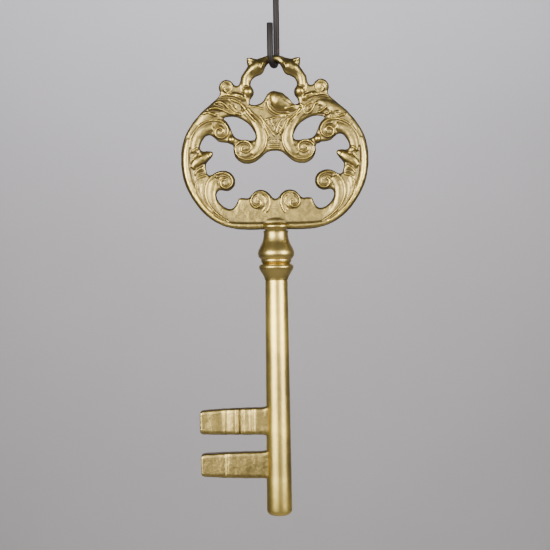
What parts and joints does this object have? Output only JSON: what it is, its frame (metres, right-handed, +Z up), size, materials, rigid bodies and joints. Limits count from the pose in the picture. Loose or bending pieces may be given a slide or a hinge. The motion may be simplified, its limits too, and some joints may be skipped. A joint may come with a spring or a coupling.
{
  "type": "ornamental key on a wire hook",
  "caption": "Long cast key with an openwork scrolled bow, a turned baluster neck, a tapered round stem and stacked flat bits, hanging by its ring from a bent wire hook.",
  "frame": {"origin": "inside of the hook's upper bend, where the nail or rail that holds it bears", "axes": "+Z up along the key, +X to the right of its front with the bits at -X, -Y towards the viewer"},
  "size_m": [0.122, 0.0238, 0.3518],
  "materials": {
    "bow": "sand-cast, satin",
    "neck": "turned, satin",
    "collar": "turned, satin",
    "stem": "drawn, satin",
    "bits": "sand-cast, satin",
    "stud": "plain",
    "wire": "dark drawn wire"
  },
  "bodies": {
    "hook": {"hanging_hook": "wire"},
    "key": {"bow_casting": "bow", "neck_baluster": "neck", "neck_collar": "collar", "stem": "stem", "upper_bit": "bits", "lower_bit": "bits", "joining_stud": "stud"}
  },
  "joints": [
    {"name": "key_sway", "type": "hinge", "parent": "hook", "child": "key", "pos_m": [0, 0, -0.0553], "axis": [0, 1, 0], "range_deg": [-25, 25]}
  ]
}
